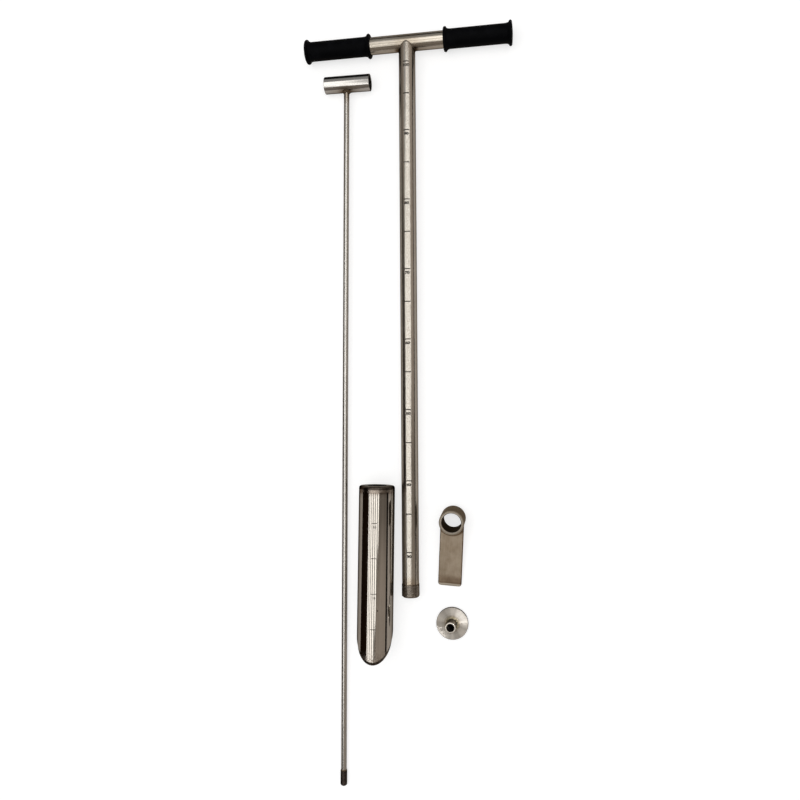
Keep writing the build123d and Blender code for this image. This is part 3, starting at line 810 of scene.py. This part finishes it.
# Fillet weld round the rod where it meets its cross handle
saddle = {"leg": 2.7 * mm, "steps": 140, "ripple": {"step": 1.2 * mm, "bow": 0.5, "depth": 0.2, "uneven": 0.15}}
sections = []
for i in range(saddle["steps"]):
    t = 2 * pi * i / saddle["steps"]
    out = Vector((cos(t), sin(t), 0))
    y = rodRadius * sin(t)
    z = sqrt(handleRadius ** 2 - y ** 2)
    sections.append((Vector((rodRadius * cos(t), y, z)), out * saddle["leg"],
                     Vector((0, y, z)).normalized() * saddle["leg"]))
finishPiece(beadMesh("pushHandleWeld", sections, cornerBead, saddle["ripple"], rodPlace), rodWeldSteel,
            "push_rod", "weld", "push_handle_weld")

# Threaded tip, and the butt weld behind it
tip = {"crest": tipSpan["outer"], "depth": 0.3 * mm, "pitch": 1.5 * mm, "count": 72, "chamfer": 1.5 * mm}
rows = threadRows(tip, tipSpan["start"], tipSpan["end"],
                  lambda level: tip["crest"] - max(0.0, level - (tipSpan["end"] - tip["chamfer"])))
tipSteel = steelMaterial("tipSteel", rodPlace, dict(
    threadLook, dark=rgb(0.04, 0.032, 0.029), light=rgb(0.105, 0.087, 0.08)))
finishPiece(gridMesh("pushRodTip", rows, rodPlace, caps=True, sharp=44.0), tipSteel,
            "push_rod", "thread_steel", "push_rod_tip")

butt = {"half": 1.2 * mm, "height": 0.7 * mm, "steps": 90,
        "ripple": {"step": 1.3 * mm, "bow": 0.4, "depth": 0.3, "uneven": 0.2}}
sections = ringSections(butt, rodRadius, tipSpan["start"] - butt["half"], "down", "out")
finishPiece(beadMesh("tipWeld", sections, overBead, butt["ripple"], rodPlace), rodWeldSteel,
            "push_rod", "weld", "tip_weld")
print("push rod done")


# Sampling tube

dusk = rgb(0.36, 0.29, 0.25)
tongueEnd = barrel["end"]
barrelZones = [nearLevel(10 * mm, 9 * mm, 0.3, dusk),
               dict(nearLevel(tongueEnd, 22 * mm, 1.0, rgb(0.50, 0.43, 0.38)), rough=0.5, grit=260.0),
               nearSpot((5.7 * mm, 24.7 * mm, 170 * mm), 1.7 * mm, 0.9, rgb(0.12, 0.10, 0.08), 0.0),
               # Painted shade: faces turned towards the tongue end, such as the tongue's cut edge, are made dark
               # and rougher
               facing(barrelDown, 0.10, 0.24, 0.93, rgb(0.10, 0.085, 0.07), rough=0.35)]
barrelLook = {"along": "z", "streakScale": 330.0, "patchScale": 34.0, "rough": (0.06, 0.12), "bump": 0.18,
              "dark": rgb(0.41, 0.388, 0.36), "light": rgb(0.475, 0.452, 0.425), "pitColor": rgb(0.10, 0.085, 0.07),
              "pits": 0.2, "edge": edgeTone, "zones": barrelZones}
polished = steelMaterial("polishedSteel", barrelPlace, barrelLook)
for name in ("barrel", "head_weld"):
    dress(name, polished)

# Head: turned outside with a faintly knurled band, rounded shoulder, threaded hole
headSpan = spanOf("barrel_head", barrelPlace)
head = {"crest": headSpan["inner"], "depth": -0.95 * mm, "pitch": 2.0 * mm, "count": 144, "shoulder": 3.6 * mm,
        "mouth": 0.8 * mm, "relief": 0.2 * mm, "groove": 1.2 * mm, "height": 12.0 * mm,
        "spigot": barrel["inner"] - 0.05 * mm}
rows = [circleRow(head["spigot"], headSpan["end"], head["count"]),
        circleRow(head["spigot"], head["height"], head["count"]),
        circleRow(barrelRadius - head["groove"], head["height"], head["count"]),
        circleRow(barrelRadius, head["height"] - head["groove"], head["count"])]
rows += arcRows(barrelRadius - head["shoulder"], head["shoulder"], head["shoulder"], 0, -90, head["count"], 8)
rows += [circleRow(head["crest"] + head["mouth"], 0.0, head["count"]),
         circleRow(head["crest"], head["mouth"], head["count"])]
rows += threadRows(head, head["mouth"] + head["relief"], headSpan["end"] - head["relief"])
rows.append(circleRow(head["crest"], headSpan["end"], head["count"]))
headKnurl = {"radius": barrelRadius, "pitch": 2.9 * mm, "at": 5.2 * mm, "half": 4.4 * mm, "depth": 0.045 * mm}
# The first zone is heat tint; the others are painted: a dark reflection on the rounded shoulder, shade on the flat
# top face and in the hole
headZones = [nearLevel(9 * mm, 12 * mm, 0.65, dusk),
             nearPlace((0, 0, 3 * mm), (0, 0, 1), 2.7 * mm, 1.5 * mm, 0.9, rgb(0.13, 0.11, 0.10)),
             facing(-barrelDown, 0.8, 0.95, 0.5, rgb(0.30, 0.27, 0.25)),
             insideOf(head["crest"] + 0.9 * mm, rgb(0.018, 0.015, 0.013))]
headLook = dict(barrelLook, stretch=0.35, patchScale=150.0, rough=(0.07, 0.14), bump=0.3,
                dark=rgb(0.34, 0.31, 0.28), light=rgb(0.47, 0.445, 0.415), knurl=headKnurl, zones=headZones)
headSteel = steelMaterial("headSteel", barrelPlace, headLook)
finishPiece(gridMesh("barrelHead", rows, barrelPlace, closedRows=True), headSteel,
            "sampling_tube", "turned_steel", "barrel_head")
print("sampling tube done")


# Foot pedal

collarSpan = spanOf("pedal_collar", pedalPlace)
plateSpan = spanOf("pedal_plate", pedalPlace)
plateLook = {"along": "y", "stretch": 0.1, "streakScale": 600.0, "patchScale": 48.0, "streaky": 0.25,
             "rough": (0.42, 0.55), "bump": 0.25, "dark": rgb(0.275, 0.222, 0.165), "light": rgb(0.43, 0.365, 0.29),
             "pitColor": rgb(0.10, 0.078, 0.055), "pits": 0.45, "edge": rgb(0.6, 0.54, 0.46)}
plateSide = pedalPlace.to_3x3() @ Vector((1, 0, 0))
plateEnd = pedalPlace.to_3x3() @ Vector((0, -1, 0))
endLevel = min(p.y for p in localPoints("pedal_plate", pedalPlace))
shaded = rgb(0.35, 0.27, 0.20)


def nearEnd(inset, reach, core, amount, color, **more):
    return nearPlace((0, endLevel + inset, 0), (0, 1, 0), reach, core, amount, color, **more)


plateZones = [nearAxis(22.8 * mm, 21.4 * mm, 0.85, shaded),
              nearEnd(8 * mm, 11 * mm, 2 * mm, 0.75, rgb(0.58, 0.50, 0.44), wander=6 * mm),
              nearEnd(5 * mm, 1.3 * mm, 0.4 * mm, 0.3, shaded, wander=1 * mm),
              # Partly wear, partly painted highlight: a lighter, smoother strip along the plate's end edge
              nearEnd(0.0, 4.2 * mm, 3.0 * mm, 0.85, rgb(0.58, 0.53, 0.455), blend="MIX", rough=0.3, wander=2 * mm),
              facing(plateSide, 0.25, 0.7, 0.8, shaded),
              facing(-plateSide, 0.25, 0.7, 0.8, shaded),
              # Painted highlight on the plate's end face
              facing(plateEnd, 0.35, 0.7, 0.9, rgb(0.60, 0.55, 0.47), blend="MIX", rough=0.25)]
dress("pedal_plate", steelMaterial("plateSteel", pedalPlace, dict(plateLook, zones=plateZones)))
# Painted light and shade on the collar: the lighter chamfers and inner edge line are painted highlights, the darker
# outer edge and the dark bore are painted shade, and the top face gets a set tone
collarZones = [facing(boreUp, 0.55, 0.7, 0.9, rgb(0.42, 0.38, 0.33), blend="MIX", rough=0.3),
               facing(boreUp, 0.85, 0.95, 0.95, rgb(0.25, 0.22, 0.18), blend="MIX", rough=0.3),
               nearAxis(15.2 * mm, 14.8 * mm, 0.8, rgb(0.50, 0.46, 0.40), blend="MIX"),
               nearAxis(16.1 * mm, 16.7 * mm, 0.5, rgb(0.45, 0.40, 0.35)),
               insideOf(collarSpan["inner"], rgb(0.028, 0.022, 0.018))]
collarLook = dict(plateLook, along="z", rough=(0.3, 0.45), dark=rgb(0.155, 0.134, 0.113),
                  light=rgb(0.25, 0.221, 0.188), zones=collarZones)
dress("pedal_collar", steelMaterial("collarSteel", pedalPlace, collarLook))

# Rippled fillets above and below the plate
fillet = {"half": 2.1 * mm, "height": 2.1 * mm, "steps": 90, "from": radians(-160), "sweep": radians(140),
          "taper": 0.12, "tail": 0.12, "ripple": {"step": 1.6 * mm, "bow": 0.5, "depth": 0.2, "uneven": 0.15}}
points, faces = [], []
for level, up in ((plateSpan["end"], "down"), (plateSpan["start"], "up")):
    rows = beadRows(ringSections(fillet, collarSpan["outer"], level, "out", up), cornerBead, fillet["ripple"])
    faces += gridFaces(rows, False, True, len(points))
    points += [p for row in rows for p in row]
pedalWeldSteel = steelMaterial("pedalWeldSteel", pedalPlace, dict(
    weldLook, dark=rgb(0.12, 0.09, 0.065), light=rgb(0.26, 0.21, 0.155)))
finishPiece(addMesh("pedalWeld", points, faces, pedalPlace, 60.0), pedalWeldSteel,
            "foot_pedal", "weld", "pedal_weld")
print("pedal done")


# Piston

disc = spanOf("piston_disc", pistonPlace)
bossSpan = spanOf("piston_boss", pistonPlace)
bossRadius = bossSpan["outer"]
# Painted shade for the bores of the disc and the boss
boreShade = rgb(0.015, 0.013, 0.011)
turnedLook = {"along": "round", "streakScale": 900.0, "patchScale": 80.0, "bump": 0.4,
              "pitColor": rgb(0.12, 0.10, 0.08), "pits": 0.3, "edge": edgeTone}
# Painted shade in the hole and on the disc's side wall; round the boss a ring that is partly heat tint, partly
# painted shade
discZones = [insideOf(bossSpan["inner"], boreShade),
             nearAxis(bossRadius + 6.5 * mm, bossRadius + 2 * mm, 0.6, rgb(0.60, 0.53, 0.41), wander=2 * mm),
             facing((0, 0, 1), 0.92, 0.6, 0.92, rgb(0.20, 0.18, 0.15))]
discLook = dict(turnedLook, rough=(0.40, 0.48), dark=rgb(0.31, 0.29, 0.265), light=rgb(0.43, 0.406, 0.378),
                lathe=0.85, sheenSpokes=0.22, zones=discZones)
dress("piston_disc", steelMaterial("turnedSteel", pistonPlace, discLook))

# Boss with rounded edge, lead-in and threaded hole
boss = {"crest": bossSpan["inner"], "depth": -0.7 * mm, "pitch": 1.5 * mm, "count": 72, "edge": 0.7 * mm,
        "mouth": 0.6 * mm}
rows = [circleRow(bossRadius, bossSpan["start"], boss["count"])]
rows += arcRows(bossRadius - boss["edge"], bossSpan["end"] - boss["edge"], boss["edge"], 0, 90, boss["count"])
rows.append(circleRow(boss["crest"] + boss["mouth"], bossSpan["end"], boss["count"]))
rows += threadRows(boss, bossSpan["start"], bossSpan["end"] - boss["mouth"])[::-1]
bossLook = dict(turnedLook, rough=(0.2, 0.3), dark=rgb(0.40, 0.374, 0.339), light=rgb(0.54, 0.51, 0.47),
                # Painted shade inside the boss's threaded hole
                zones=[insideOf(boss["crest"] + 0.5 * mm, boreShade)])
bossSteel = steelMaterial("bossSteel", pistonPlace, bossLook)
finishPiece(gridMesh("pistonBoss", rows, pistonPlace, closedRows=True), bossSteel,
            "piston", "turned_steel", "piston_boss")

# Fillet weld round the foot of the boss
root = {"half": 1.8 * mm, "height": 1.8 * mm, "steps": 110,
        "ripple": {"step": 1.4 * mm, "bow": 0.5, "depth": 0.2, "uneven": 0.15}}
sections = ringSections(root, bossRadius, disc["end"], "out", "down")
pistonWeldSteel = steelMaterial("pistonWeldSteel", pistonPlace, dict(
    weldLook, rough=(0.5, 0.62), dark=rgb(0.29, 0.252, 0.172), light=rgb(0.55, 0.493, 0.36)))
finishPiece(beadMesh("pistonWeld", sections, cornerBead, root["ripple"], pistonPlace), pistonWeldSteel,
            "piston", "weld", "piston_weld")
print("piston done")
